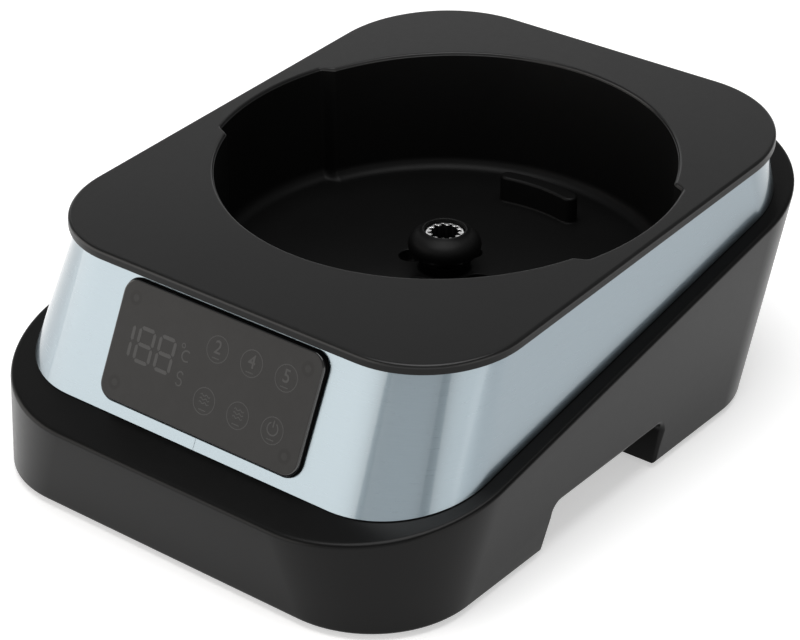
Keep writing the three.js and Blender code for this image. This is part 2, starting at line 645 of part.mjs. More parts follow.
function motor() {
  const group = new THREE.Group();
  const lowerBearing = BEARING_TUBE.bottom + 1;
  const upperBearing = BRACKET.bottom - BEARING.width - 1;
  const bearing = (bottom) => tube(BEARING.bore, BEARING.outer, bottom, bottom + BEARING.width);
  const seal = lathe([
    [3.3, 40], [NECK.bore - GAP, 40], [NECK.bore - GAP, 47.4], [5.4, 47.4], [5.4, 42],
    [4, 42], [4, 46], [3.3, 46], [3.3, 40],
  ], 20);
  group.add(
    solidMesh('motor_bracket', motorBracket(), greyPlastic),
    named('lower_bearing', bearing(lowerBearing), brightSteel),
    named('upper_bearing', bearing(upperBearing), brightSteel),
    named('shaft_seal', seal, blackRubber),
    solidMesh('stator_core', stator(), laminate),
  );
  for (let i = 0; i < STATOR.teeth; i += 1) group.add(named(`stator_coil_${i + 1}`, coil(i), copper));
  screwCircle((x, y, i) => {
    const bolt = screw({ ...MOTOR_SCREW, headBottom: SCREW_HOLE.seat + 0.2 });
    group.add(named(`motor_screw_${i + 1}`, at(bolt, x, y), brightSteel));
  });
  return group;
}

function spindle() {
  const group = new THREE.Group();
  const magnets = tube(MAGNET.inner, MAGNET.outer, MAGNET.bottom, MAGNET.top, 48);
  group.add(
    named('shaft', rod(SHAFT_RADIUS, BELL.bottom + 0.4, SPLINE.floor - GAP, 24), brightSteel),
    solidMesh('rotor_bell', rotorBell(), laminate),
    named('magnet_ring', magnets, ferrite),
    solidMesh('fan_wheel', fanWheel(), greyPlastic),
    solidMesh('spline_socket', splineSocket(), brightSteel),
    named('coupling_boot', couplingBoot(), blackRubber),
  );
  return group;
}

// ---- Power board, mains inlet, feet and cover screws ----

function powerBoardCorners() {
  const { x, y, width, length } = POWER_BOARD;
  const points = [];
  for (const side of [-1, 1]) {
    for (const end of [-1, 1]) points.push([x + side * (width / 2 - 5), y + end * (length / 2 - 5)]);
  }
  return points;
}

function electronics() {
  const group = new THREE.Group();
  const { x, y, width, length, bottom, thick } = POWER_BOARD;
  const top = bottom + thick + GAP;
  const board = roundedPlate(width, length, 2, bottom, bottom + thick, 2).translate(x, y, 0);
  const can = lathe([[0, top], [7.6, top], [8, top + 0.6], [8, top + 17], [7, top + 18], [0, top + 18]], 24);
  const transformer = roundedPlate(26, 22, 2, top, top + 16, 2);
  group.add(
    named('power_board', board, greenBoard),
    named('filter_capacitor', at(can, x + 34, y), ferrite),
    named('board_transformer', at(transformer, x - 6, y), greyPlastic),
    named('power_relay', at(roundedPlate(12, 26, 1, top, top + 14, 2), x - 36, y), blackPlastic),
  );
  return group;
}

function inlet() {
  const group = new THREE.Group();
  group.position.set(INLET.x, INLET.face, INLET.z);
  group.rotation.x = -Math.PI / 2;
  const { width, height, depth, wall } = INLET;
  const flange = toSolid(roundedPlate(INLET_FLANGE.width, INLET_FLANGE.height, 3, GAP, INLET_FLANGE.thick));
  const body = toSolid(roundedPlate(width, height, 2, -depth, INLET_FLANGE.thick));
  const cavity = toSolid(roundedPlate(width - 2 * wall, height - 2 * wall, 3, 3 - depth, 5));
  group.add(solidMesh('mains_inlet', cut(join(flange, body), cavity), blackPlastic));
  const places = [[-PIN.spread, PIN.step / 2], [0, -PIN.step / 2], [PIN.spread, PIN.step / 2]];
  places.forEach(([x, y], i) => {
    const pin = new THREE.BoxGeometry(PIN.thick, PIN.width, PIN.length);
    const mesh = named(`inlet_pin_${i + 1}`, pin, brightSteel);
    mesh.position.set(x, y, 3 - depth + GAP + PIN.length / 2);
    group.add(mesh);
  });
  return group;
}

function footGeometry() {
  const { radius, recess } = FOOT;
  return lathe([
    [0, -FOOT_HEIGHT], [radius - 0.8, -FOOT_HEIGHT], [radius, 0.8 - FOOT_HEIGHT],
    [radius, recess - 0.2], [0, recess - 0.2],
  ], 24);
}

// ---- Assembly ----

const object = new THREE.Group();
object.position.set(0, WELL_AXIS_Y, FOOT_HEIGHT);
object.add(
  solidMesh('base_shell', baseShell(), blackPlastic),
  solidMesh('bottom_cover', bottomCover(), blackPlastic),
  solidMesh('steel_band', steelBand(), brushedSteel),
  solidMesh('band_frame', bandFrame(), blackPlastic),
  solidMesh('top_housing', topHousing(), deckPlastic),
  touchPanel(),
  motor(),
  spindle(),
  electronics(),
  inlet(),
);
FOOT_PLACES.forEach(([x, y], i) => {
  object.add(named(`foot_${i + 1}`, at(footGeometry(), x, y), blackRubber));
});
COVER_SCREW_PLACES.forEach(([x, y], i) => {
  object.add(named(`cover_screw_${i + 1}`, at(screw(COVER_SCREW), x, y), brightSteel));
});

export default object;
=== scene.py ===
# Studio picture of a low powered kitchen base: round well, splined coupling, steel band, touch panel.
import json
import math

import bmesh
import bpy
import numpy as np
from mathutils import Matrix, Vector


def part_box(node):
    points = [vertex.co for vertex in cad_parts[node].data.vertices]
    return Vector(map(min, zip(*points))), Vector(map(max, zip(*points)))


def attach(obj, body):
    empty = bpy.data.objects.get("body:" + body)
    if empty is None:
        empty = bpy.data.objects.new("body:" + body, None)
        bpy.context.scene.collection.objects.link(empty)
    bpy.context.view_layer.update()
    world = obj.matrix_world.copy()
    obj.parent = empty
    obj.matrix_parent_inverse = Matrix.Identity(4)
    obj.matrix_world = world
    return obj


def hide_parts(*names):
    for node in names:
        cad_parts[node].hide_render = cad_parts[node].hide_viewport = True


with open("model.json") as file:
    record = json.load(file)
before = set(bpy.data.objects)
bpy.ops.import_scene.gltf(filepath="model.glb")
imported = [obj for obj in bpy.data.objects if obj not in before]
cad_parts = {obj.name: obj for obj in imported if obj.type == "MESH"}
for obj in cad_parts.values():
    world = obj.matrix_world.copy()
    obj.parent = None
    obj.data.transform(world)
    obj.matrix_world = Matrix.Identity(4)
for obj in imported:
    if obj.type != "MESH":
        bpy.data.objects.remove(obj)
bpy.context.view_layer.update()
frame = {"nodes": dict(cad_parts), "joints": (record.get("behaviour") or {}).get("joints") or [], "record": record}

# ---- Driving dimensions, in millimetres about the well's axis, Z up from the base's bottom edge ----

MM = 0.001
AXIS = Vector(frame["joints"][0]["pos_m"][:2] + [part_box("base_shell")[0].z])

DECK_PLANE = (87.2, 0.051)
LEDGE_PLANE = (57.9, 0.182)

# half width, front edge, back edge, front corner radius, back corner radius
DECK = (89.7, -115.0, 101.4, 36.4, 44.5)
BAND_TOP = (86.6, -111.4, 99.0, 32.9, 41.9)
BAND_FOOT = (91.2, -132.3, 95.0, 35.4, 38.0)
LEDGE = (97.2, -148.6, 109.8, 52.9, 52.4)
BASE_FOOT = (92.4, -146.2, 78.0, 37.6, 37.6)

GAP = 0.3
SHELL_WALL = 3.0
STEEL = 0.6
DECK_EDGE = 3.4
DECK_SKIN = 2.6
LEDGE_OPENING_INSET = 4.5

WELL_RADIUS = 80.0
WELL_FOOT_RADIUS = 79.5
WELL_FLOOR = 44.0
WELL_FILLET = 4.5
CHANNEL_DEPTH = 3.6
CHANNEL_HALF_ANGLE = 20.5
LUG_INNER, LUG_OUTER, LUG_HALF_ANGLE, LUG_HEIGHT = 55.0, 61.0, 13.5, 10.0
NECK_RADIUS, NECK_TOP, NECK_BORE = 9.1, 48.0, 6.6
BOSS_RADIUS, BOSS_BOTTOM = 22.0, 32.0
HOLE_CIRCLE, HOLE_RADIUS, HOLE_SEAT = 14.6, 4.5, 35.0

PANEL_SIZE = (85.5, 42.0)
PANEL_BODY = (81.5, 38.0)
PANEL_SCREW_X, PANEL_SCREW_Y = 36.3, 14.4
PANEL_RADIUS = 6.0
PANEL_CENTRE = 25.5
PANEL_SCREW_MARK = 2.8
LENS_FRONT = 2.1
LENS_MARGIN = 0.45
TRAY_WALL, TRAY_DEPTH, TRAY_CAVITY = 1.5, 9, 7.5
BODY_CLEARANCE = 0.6

# hand-hold: front edge at its mouth and foot, back edge at its mouth and foot, top, corner radius
POCKET_FRONT, POCKET_FRONT_FOOT = -64.05, -71
POCKET_BACK, POCKET_BACK_FOOT = 0, -4
POCKET_TOP, POCKET_RADIUS, POCKET_BELOW = 16, 4, -6.0
POCKET_INNER = 66.0
POCKET_LIP, POCKET_LINING = 1.8, 2.5

# width, height, corner radius
INLET_CENTRE = (-28, 93, 21)
INLET_HOUSING = (37, 29, 3)
INLET_HOLLOW = (32, 24, 1)
INLET_HOLE = (27.6, 20.2, 2)
INLET_SOCKET = (31, 23.6, 3.2)
INLET_PIN = (2, 4, 0.35)
INLET_PIN_PLACES = ((-7, 2), (0, -2), (7, 2))

VENT = (4, 44, 1.9)
VENT_PITCH, VENT_REACH = 9, 4


def plane_height(plane, y):
    return plane[0] + plane[1] * y


# ---- Mesh tools ----

def finish_mesh(name, verts, faces, slot, body="base", sharp=35, place=None, replaces=()):
    """A mesh object from points in millimetres about the well's axis, riding on a body."""
    mesh = bpy.data.meshes.new(name)
    scaled = np.asarray(verts, float) * MM
    if place is None:
        scaled = scaled + np.array(AXIS)
    mesh.from_pydata([tuple(v) for v in scaled], [], faces)
    obj = bpy.data.objects.new(name, mesh)
    bpy.context.scene.collection.objects.link(obj)
    if place is not None:
        obj.matrix_world = place
    bm = bmesh.new()
    bm.from_mesh(mesh)
    bmesh.ops.recalc_face_normals(bm, faces=bm.faces)
    bm.to_mesh(mesh)
    bm.free()
    smooth(obj, sharp)
    obj.data.materials.append(MATERIALS[slot])
    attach(obj, body)
    if replaces:
        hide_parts(*replaces)
    return obj


def smooth(obj, sharp=35):
    obj.data.shade_smooth()
    obj.data.set_sharp_from_angle(angle=math.radians(sharp))


def skin(loops, ring=True, cap_start=False, cap_end=False):
    """Vertices and quads over loops of equal length; ring joins the last loop to the first."""
    count = len(loops[0])
    verts = np.concatenate(loops)
    faces = []
    pairs = [(i, i + 1) for i in range(len(loops) - 1)]
    if ring:
        pairs.append((len(loops) - 1, 0))
    for low, high in pairs:
        a, b = low * count, high * count
        for i in range(count):
            j = (i + 1) % count
            faces.append((a + i, a + j, b + j, b + i))
    for wanted, first in ((cap_start, 0), (cap_end, (len(loops) - 1) * count)):
        if wanted:
            centre = verts[first:first + count].mean(0)
            verts = np.vstack([verts, centre])
            faces += [(first + (i + 1) % count, first + i, len(verts) - 1) for i in range(count)]
    return verts, faces


def outline(shape, inset=0.0, steps=28):
    """Rounded rectangle seen from above, anticlockwise, moved in by inset."""
    half, front, back, front_radius, back_radius = shape
    half, front, back = half - inset, front + inset, back - inset
    front_radius, back_radius = max(front_radius - inset, 1), max(back_radius - inset, 1)
    corners = [
        (half - front_radius, front + front_radius, front_radius, -90),
        (half - back_radius, back - back_radius, back_radius, 0),
        (-half + back_radius, back - back_radius, back_radius, 90),
        (-half + front_radius, front + front_radius, front_radius, 180),
    ]
    points = []
    for x, y, radius, start in corners:
        for i in range(steps + 1):
            angle = math.radians(start + 90 * i / steps)
            points.append((x + radius * math.cos(angle), y + radius * math.sin(angle)))
    return np.array(points)


def lifted(points, plane, drop=0.0):
    return np.column_stack([points, plane[0] + plane[1] * points[:, 1] - drop])


def level(points, z):
    return np.column_stack([points, np.full(len(points), z)])


def fillet(radius, steps=5):
    """Inset and drop of a rounded edge from the flat face to the wall."""
    for i in range(steps + 1):
        angle = math.pi / 2 * i / steps
        yield radius * (1 - math.sin(angle)), radius * (1 - math.cos(angle))


def lathe_loops(profile, steps=96):
    angles = np.linspace(0, 2 * math.pi, steps, endpoint=False)
    return [np.column_stack([r * np.cos(angles), r * np.sin(angles), np.full(steps, z)]) for r, z in profile]


def arc_profile(centre, radius, start, end, steps=6):
    """Points of an arc in the radius-height plane, from start to end degrees."""
    return [(centre[0] + radius * math.cos(math.radians(a)), centre[1] + radius * math.sin(math.radians(a)))
            for a in np.linspace(start, end, steps + 1)]


def moved(loops, x=0.0, y=0.0, z=0.0):
    return [loop + np.array([x, y, z]) for loop in loops]


def raw_object(name, verts, faces, place=None):
    """A bare mesh used only as a tool in a boolean."""
    mesh = bpy.data.meshes.new(name)
    scaled = np.asarray(verts, float) * MM
    if place is None:
        scaled = scaled + np.array(AXIS)
    mesh.from_pydata([tuple(v) for v in scaled], [], faces)
    bm = bmesh.new()
    bm.from_mesh(mesh)
    bmesh.ops.recalc_face_normals(bm, faces=bm.faces)
    bm.to_mesh(mesh)
    bm.free()
    obj = bpy.data.objects.new(name, mesh)
    bpy.context.scene.collection.objects.link(obj)
    if place is not None:
        obj.matrix_world = place
    return obj


def combine(obj, tools, operation, sharp=35):
    """Joins tools to obj, or cuts them out of it, and removes them."""
    for tool in tools:
        modifier = obj.modifiers.new("combine", "BOOLEAN")
        modifier.operation = operation
        modifier.solver = "MANIFOLD"
        modifier.object = tool
        bpy.context.view_layer.update()
        solid = bpy.data.meshes.new_from_object(obj.evaluated_get(bpy.context.evaluated_depsgraph_get()))
        obj.modifiers.clear()
        old = obj.data
        materials = list(old.materials)
        obj.data = solid
        solid.materials.clear()
        for material in materials:
            solid.materials.append(material)
        bpy.data.meshes.remove(old)
        bpy.data.objects.remove(tool)
    smooth(obj, sharp)
    return obj


def even_normals(obj):
    """Keeps flat faces flat beside their rounded edges."""
    modifier = obj.modifiers.new("even_normals", "WEIGHTED_NORMAL")
    modifier.keep_sharp = True
    modifier.weight = 80
    return obj


# ---- Materials ----

def nodes_of(name):
    material = bpy.data.materials.new(name)
    material.use_nodes = True
    tree = material.node_tree
    shader = tree.nodes["Principled BSDF"]
    return material, tree, shader


def link(tree, source, output, target, socket):
    tree.links.new(source.outputs[output], target.inputs[socket])


def noise(tree, scale, detail=4.0, roughness=0.55, stretch=(1, 1, 1)):
    coordinates = tree.nodes.new("ShaderNodeTexCoord")
    mapping = tree.nodes.new("ShaderNodeMapping")
    mapping.inputs["Scale"].default_value = stretch
    texture = tree.nodes.new("ShaderNodeTexNoise")
    texture.inputs["Scale"].default_value = scale
    texture.inputs["Detail"].default_value = detail
    texture.inputs["Roughness"].default_value = roughness
    link(tree, coordinates, "Object", mapping, "Vector")
    link(tree, mapping, "Vector", texture, "Vector")
    return texture


def ramp(tree, source, low, high, start=0.3, end=0.7):
    """Colour ramp driven by a texture's factor."""
    node = tree.nodes.new("ShaderNodeValToRGB")
    node.color_ramp.elements[0].position = start
    node.color_ramp.elements[1].position = end
    node.color_ramp.elements[0].color = (*low, 1)
    node.color_ramp.elements[1].color = (*high, 1)
    link(tree, source, "Fac", node, "Fac")
    return node


def spread(tree, source, low, high):
    """Maps a texture's middle range to low..high."""
    node = tree.nodes.new("ShaderNodeMapRange")
    node.inputs["From Min"].default_value = 0.3
    node.inputs["From Max"].default_value = 0.7
    node.inputs["To Min"].default_value = low
    node.inputs["To Max"].default_value = high
    link(tree, source, "Fac", node, "Value")
    return node


def relief(tree, shader, source, strength, distance):
    node = tree.nodes.new("ShaderNodeBump")
    node.inputs["Strength"].default_value = strength
    node.inputs["Distance"].default_value = distance
    link(tree, source, "Fac", node, "Height")
    link(tree, node, "Normal", shader, "Normal")


def grey(value, warm=0.0):
    return (value * (1 + warm), value, value * (1 - warm))


def moulded(name, colour, rough, grain=2600, depth=0.00004, strength=0.35, variation=0.12, gloss=0.5):
    """Moulded plastic or rubber: cloudy tone, spark-eroded grain and uneven sheen."""
    material, tree, shader = nodes_of(name)
    shader.inputs["Specular IOR Level"].default_value = gloss
    cloud = noise(tree, 28, 3)
    tone = ramp(tree, cloud, [c * (1 - variation) for c in colour], [c * (1 + variation) for c in colour])
    link(tree, tone, "Color", shader, "Base Color")
    fine = noise(tree, grain, 3, 0.6)
    link(tree, spread(tree, noise(tree, 400, 4), rough - 0.015, rough + 0.015), "Result", shader, "Roughness")
    relief(tree, shader, fine, strength, depth)
    return material


def metal(name, colour, rough, stretch=(1, 1, 1), grain=900, strength=0.12, depth=0.00002, shift=0.06,
          coat=0.0):
    """Metal with a directional grain in colour, sheen and relief."""
    material, tree, shader = nodes_of(name)
    shader.inputs["Metallic"].default_value = 1.0
    shader.inputs["Coat Weight"].default_value = coat
    shader.inputs["Coat Roughness"].default_value = 0.07
    shader.inputs["Coat IOR"].default_value = 1.6
    grain_texture = noise(tree, grain, 3, 0.6, stretch)
    darker, lighter = [c * (1 - shift) for c in colour], [min(1, c * (1 + shift)) for c in colour]
    tone = ramp(tree, grain_texture, darker, lighter)
    link(tree, tone, "Color", shader, "Base Color")
    link(tree, spread(tree, grain_texture, rough - 0.03, rough + 0.03), "Result", shader, "Roughness")
    relief(tree, shader, grain_texture, strength, depth)
    return material


def smoked_panel():
    """Smoked panel film: faint mottling and four soft dark marks over the screws behind it."""
    material, tree, shader = nodes_of("smoked_acrylic")
    mottle = noise(tree, 220, 5)
    tone = ramp(tree, mottle, grey(0.0045), grey(0.007))
    shader.inputs["Specular IOR Level"].default_value = 0.26
    coordinates = tree.nodes.new("ShaderNodeTexCoord")
    fold = tree.nodes.new("ShaderNodeVectorMath")
    fold.operation = "ABSOLUTE"
    link(tree, coordinates, "Object", fold, 0)
    away = tree.nodes.new("ShaderNodeVectorMath")
    away.operation = "DISTANCE"
    away.inputs[1].default_value = (PANEL_SCREW_X * MM, PANEL_SCREW_Y * MM, LENS_FRONT * MM)
    link(tree, fold, "Vector", away, 0)
    mark = tree.nodes.new("ShaderNodeValToRGB")
    mark.color_ramp.elements[0].position = 0.36
    mark.color_ramp.elements[0].color = (*grey(1.6), 1)
    mark.color_ramp.elements[1].position = 1.0
    mark.color_ramp.elements[1].color = (*grey(1.0), 1)
    for place, tone_value in ((0.5, 0.1), (0.78, 0.2)):
        mark.color_ramp.elements.new(place).color = (*grey(tone_value), 1)
    reach = tree.nodes.new("ShaderNodeMath")
    reach.operation = "DIVIDE"
    reach.inputs[1].default_value = PANEL_SCREW_MARK * MM
    link(tree, away, "Value", reach, 0)
    link(tree, reach, "Value", mark, "Fac")
    mix = tree.nodes.new("ShaderNodeMix")
    mix.data_type = "RGBA"
    mix.blend_type = "MULTIPLY"
    mix.inputs["Factor"].default_value = 1.0
    tree.links.new(tone.outputs["Color"], mix.inputs["A"])
    tree.links.new(mark.outputs["Color"], mix.inputs["B"])
    tree.links.new(mix.outputs["Result"], shader.inputs["Base Color"])
    link(tree, spread(tree, noise(tree, 900, 4), 0.30, 0.38), "Result", shader, "Roughness")
    relief(tree, shader, noise(tree, 1500, 3), 0.15, 0.00003)
    return material


MATERIALS = {
    "black_base": moulded("black_base", grey(0.0032), 0.29, grain=4200, strength=0.1, gloss=0.155),
    "deck_plastic": moulded("deck_plastic", grey(0.0032), 0.38, grain=3000, strength=0.25, gloss=0.2),
    "brushed_steel": metal("brushed_steel", (0.225, 0.28, 0.315), 0.3, stretch=(0.05, 0.05, 3.0), grain=2400,
                           strength=0.06, shift=0.03, coat=1.0),
    "bright_steel": metal("bright_steel", grey(0.82), 0.2, grain=1600, strength=0.1),
    "smoked_acrylic": smoked_panel(),
    "black_rubber": moulded("black_rubber", grey(0.004), 0.46, grain=3200, strength=0.3, gloss=0.145),
    "circuit_board": moulded("circuit_board", (0.015, 0.12, 0.045), 0.45, grain=1500),
    "grey_plastic": moulded("grey_plastic", grey(0.2), 0.5),
    "steel_laminate": metal("steel_laminate", grey(0.3), 0.4, stretch=(0.1, 0.1, 4.0)),
    "ferrite": moulded("ferrite", grey(0.03), 0.6, grain=1800),
    "copper_wire": metal("copper_wire", (0.72, 0.3, 0.12), 0.35, stretch=(0.2, 0.2, 2.0), strength=0.4),
}
print_material = moulded("panel_print", grey(0.022), 0.34, grain=1500, strength=0.1, gloss=0.36)
# Painted shade: near-black lining for the socket's deep floor and lower tooth flanks
shadow_material = moulded("socket_painted_shade", grey(0.004), 0.6, gloss=0.2)
# Painted shade: the deck's plastic made a little darker and less glossy inside the well
well_shade_material = moulded("well_painted_shade", grey(0.0028), 0.46, grain=3000, strength=0.2, gloss=0.14)
rim_material = moulded("deck_rim", grey(0.0032), 0.3, grain=3000, strength=0.08, gloss=0.34)
# Painted shade: near-black, barely glossy tray that draws the shaded groove round the lens
groove_shade_material = moulded("panel_groove_shade", grey(0.002), 0.7, gloss=0.03)
bevel_material = moulded("lens_bevel", grey(0.006), 0.14, grain=1500, strength=0.03, gloss=0.9)


# ---- Camera and studio ----

def add_camera():
    azimuth, elevation, distance = math.radians(38.276), math.radians(29.821), 0.9583
    shift_right, shift_up = -0.01563, 0.01965
    backward = Vector((math.sin(azimuth) * math.cos(elevation), -math.cos(azimuth) * math.cos(elevation),
                       math.sin(elevation)))
    right = Vector((math.cos(azimuth), math.sin(azimuth), 0))
    up = backward.cross(right)
    data = bpy.data.cameras.new("camera")
    data.sensor_width = 36
    data.lens = 119.8
    data.clip_start = 0.05
    camera = bpy.data.objects.new("camera", data)
    bpy.context.scene.collection.objects.link(camera)
    place = AXIS + backward * distance + right * shift_right + up * shift_up
    camera.matrix_world = Matrix.Translation(place) @ Matrix((right, up, backward)).transposed().to_4x4()
    bpy.context.scene.camera = camera


# name, place, size, watts, colour
STUDIO = (
    ("top_softbox", (0.0, -0.1, 1.8), (1.4, 1.4), 20, (1, 1, 1)),
    ("left_front_softbox", (-0.85, -0.95, 0.36), (2.0, 0.7), 9.2, (1, 0.96, 0.92)),
    ("right_strip", (0.76, -0.17, 0.2), (0.55, 0.4), 0.95, (1, 0.97, 0.94)),
    ("front_fill", (0.75, -1.5, 0.4), (1.5, 1.0), 3.4, (1, 1, 1)),
    ("back_softbox", (-0.8, 0.95, 0.5), (1.4, 0.5), 2.0, (1, 1, 1)),
)


def add_light(name, place, target, size, power, colour=(1, 1, 1)):
    data = bpy.data.lights.new(name, "AREA")
    data.shape = "RECTANGLE"
    data.size, data.size_y = size
    data.energy = power
    data.color = colour
    light = bpy.data.objects.new(name, data)
    bpy.context.scene.collection.objects.link(light)
    light.location = place
    light.rotation_euler = (Vector(target) - Vector(place)).to_track_quat("-Z", "Y").to_euler()


def add_studio():
    scene = bpy.context.scene
    scene.view_settings.view_transform = "Standard"
    world = bpy.data.worlds.new("world")
    world.use_nodes = True
    world.node_tree.nodes["Background"].inputs["Color"].default_value = (1, 1, 1, 1)
    world.node_tree.nodes["Background"].inputs["Strength"].default_value = 0.26
    scene.world = world
    floor_mesh = bpy.data.meshes.new("floor")
    reach = 6.0
    floor_mesh.from_pydata([(-reach, -reach, 0), (reach, -reach, 0), (reach, reach, 0), (-reach, reach, 0)],
                           [], [(0, 1, 2, 3)])
    floor = bpy.data.objects.new("floor", floor_mesh)
    scene.collection.objects.link(floor)
    material, tree, shader = nodes_of("floor_paint")
    tone = ramp(tree, noise(tree, 3, 3), grey(0.88), grey(0.9))
    link(tree, tone, "Color", shader, "Base Color")
    shader.inputs["Roughness"].default_value = 0.9
    shader.inputs["Emission Color"].default_value = (1, 1, 1, 1)
    shader.inputs["Emission Strength"].default_value = 0.45
    floor_mesh.materials.append(material)
    for name, place, size, power, colour in STUDIO:
        add_light(name, place, (0, 0, 0.06), size, power, colour)


# ---- Black base ----

def wall_loop(inset, rise=None, drop=None, share=None):
    """Loop round the base's leaning wall: rise over the foot, drop under the ledge or share of height."""
    foot = outline(BASE_FOOT, inset)
    rim = outline(LEDGE, inset)
    top = plane_height(LEDGE_PLANE, rim[:, 1])
    if drop is not None:
        share = 1 - drop / top
    elif rise is not None:
        share = rise / top
    share = np.broadcast_to(share, top.shape)
    points = foot + (rim - foot) * share[:, None]
    return np.column_stack([points, top * share])


def wall_x(y, z):
    """Where the base's right wall stands."""
    return BASE_FOOT[0] + (LEDGE[0] - BASE_FOOT[0]) * z / plane_height(LEDGE_PLANE, y)


def pocket_outline(grow):
    """Front-to-back and height points of the hand-hold's mouth: leaning sides, round upper corners."""
    radius = POCKET_RADIUS + grow
    front, back, top = POCKET_FRONT - grow, POCKET_BACK + grow, POCKET_TOP + grow
    points = [(POCKET_FRONT_FOOT - grow, POCKET_BELOW)]
    for middle, start, end in ((front + radius, 180, 90), (back - radius, 90, 0)):
        for a in np.radians(np.linspace(start, end, 9)):
            points.append((middle + radius * math.cos(a), top - radius + radius * math.sin(a)))
    points.append((POCKET_BACK_FOOT + grow, POCKET_BELOW))
    return np.array(points)


def pocket_tool(name, side, grow, inner, flare):
    """Prism that cuts (flare > 0) or lines (flare = 0) one hand-hold."""
    loops = []

    def add(depth, extra, follow):
        points = pocket_outline(grow + extra)
        x = np.full(len(points), float(depth))
        if follow:
            x += np.array([wall_x(y, max(z, 0)) for y, z in points])
        loops.append(np.column_stack([side * x, points]))

    add(inner, 0, False)
    if flare:
        for i in range(6):
            angle = math.pi / 2 * i / 5
            add(-flare * (1 - math.sin(angle)), flare * (1 - math.cos(angle)), True)
        add(6, flare, True)
    else:
        add(-1.2, 0, True)
    return raw_object(name, *skin(loops, ring=False, cap_start=True, cap_end=True))


def box_loops(width, height, radius, depths, steps=8):
    """Loops of a rounded plate at (inset, depth) pairs, in the plate's own plane."""
    return [level(outline((width / 2, -height / 2, height / 2, radius, radius), inset, steps), z)
            for inset, z in depths]


INLET_PLACE = Matrix.Translation(AXIS + Vector(INLET_CENTRE) * MM) @ Matrix.Rotation(-math.pi / 2, 4, "X")


def add_base():
    ledge_edge, foot_edge = 1.5, 1.3
    loops = [lifted(outline(BAND_FOOT, LEDGE_OPENING_INSET), LEDGE_PLANE)]
    loops.append(lifted(outline(LEDGE, ledge_edge + 0.5), LEDGE_PLANE))
    loops += [wall_loop(inset, drop=drop) for inset, drop in fillet(ledge_edge)]
    loops += [wall_loop(0, share=share) for share in (0.85, 0.7, 0.55, 0.4, 0.25, 0.12)]
    loops += [wall_loop(inset, rise=rise) for inset, rise in reversed(list(fillet(foot_edge)))]
    loops.append(wall_loop(SHELL_WALL, rise=0))
    loops += [wall_loop(SHELL_WALL, share=share) for share in (0.2, 0.5, 0.8)]
    loops.append(wall_loop(SHELL_WALL, drop=SHELL_WALL))
    loops.append(lifted(outline(BAND_FOOT, LEDGE_OPENING_INSET), LEDGE_PLANE, SHELL_WALL))
    base = finish_mesh("base_case", *skin(loops), "black_base", replaces=["base_shell"])
    liners = [pocket_tool("liner", side, POCKET_LINING, POCKET_INNER - POCKET_LINING, 0) for side in (1, -1)]
    housing = box_loops(*INLET_HOUSING, [(0, -24), (0, -0.8), (0.25, -0.25), (0.8, 0)])
    liners.append(raw_object("inlet_housing", *skin(housing, False, True, True), place=INLET_PLACE))
    combine(base, liners, "UNION")
    cutters = [pocket_tool("pocket", side, 0, POCKET_INNER, POCKET_LIP) for side in (1, -1)]
    hollow = box_loops(*INLET_HOLLOW, [(0, -30), (0, -2.5)])
    cutters.append(raw_object("inlet_hollow", *skin(hollow, False, True, True), place=INLET_PLACE))
    hole = box_loops(*INLET_HOLE, [(0, -6), (0, 3)])
    cutters.append(raw_object("inlet_hole", *skin(hole, False, True, True), place=INLET_PLACE))
    below = outline((200, -300, 300, 5, 5))
    slab = [level(below, -12), level(below, 0)]
    cutters.append(raw_object("floor_level", *skin(slab, False, True, True)))
    combine(base, cutters, "DIFFERENCE")
    even_normals(base)


# ---- Steel band ----

def face_matrix():
    """Plane of the band's leaning front: x across, y up the face, z out of it."""
    foot_y, top_y = BAND_FOOT[1], BAND_TOP[1]
    foot_z = plane_height(LEDGE_PLANE, foot_y)
    top_z = plane_height(DECK_PLANE, top_y) - DECK_EDGE
    tilt = math.atan2(top_z - foot_z, top_y - foot_y)
    place = AXIS + Vector((0, foot_y, foot_z)) * MM
    return Matrix.Translation(place) @ Matrix.Rotation(tilt, 4, "X")


FACE = face_matrix()
PANEL = FACE @ Matrix.Translation(Vector((0, PANEL_CENTRE, 0)) * MM)


def add_band():
    round_over = 0.12

    def foot(inset, rise):
        return lifted(outline(BAND_FOOT, inset), LEDGE_PLANE, -GAP - rise)

    def rim(inset, drop):
        return lifted(outline(BAND_TOP, inset), DECK_PLANE, DECK_EDGE + GAP + drop)

    def between(inset, share):
        low, high = foot(inset, 0), rim(inset, 0)
        return low + (high - low) * share

    loops = [foot(round_over, 0), foot(0, round_over)]
    loops += [between(0, share) for share in (0.15, 0.3, 0.45, 0.6, 0.75, 0.9)]
    loops += [rim(0, round_over), rim(round_over, 0), rim(STEEL - round_over, 0), rim(STEEL, round_over)]
    loops += [between(STEEL, 0.5), foot(STEEL, round_over), foot(STEEL - round_over, 0)]
    band = finish_mesh("steel_wrap", *skin(loops), "brushed_steel", replaces=["steel_band"])
    width, height = PANEL_BODY
    opening_loops = box_loops(width + BODY_CLEARANCE, height + BODY_CLEARANCE, 4, [(0, -12), (0, 4)])
    opening = raw_object("opening", *skin(opening_loops, False, True, True), place=PANEL)
    seam_loops = box_loops(0.22, 30, 0.05, [(0, -0.2), (0, 3)], 2)
    seam = raw_object("seam", *skin(seam_loops, False, True, True),
                      place=FACE @ Matrix.Translation(Vector((0, -9, 0)) * MM))
    combine(band, [opening, seam], "DIFFERENCE")
    even_normals(band)


# ---- Deck and well ----

def ray_angles():
    """Directions round the well, closer together where the channels begin and end."""
    angles = list(np.arange(0, 360, 1.0))
    for middle in (0, 180):
        for side in (-1, 1):
            edge = middle + side * CHANNEL_HALF_ANGLE
            angles += list(edge + np.arange(-2.6, 2.9, 0.22) * side)
    return np.radians(np.unique(np.round(np.mod(angles, 360), 3)))


RAYS = ray_angles()


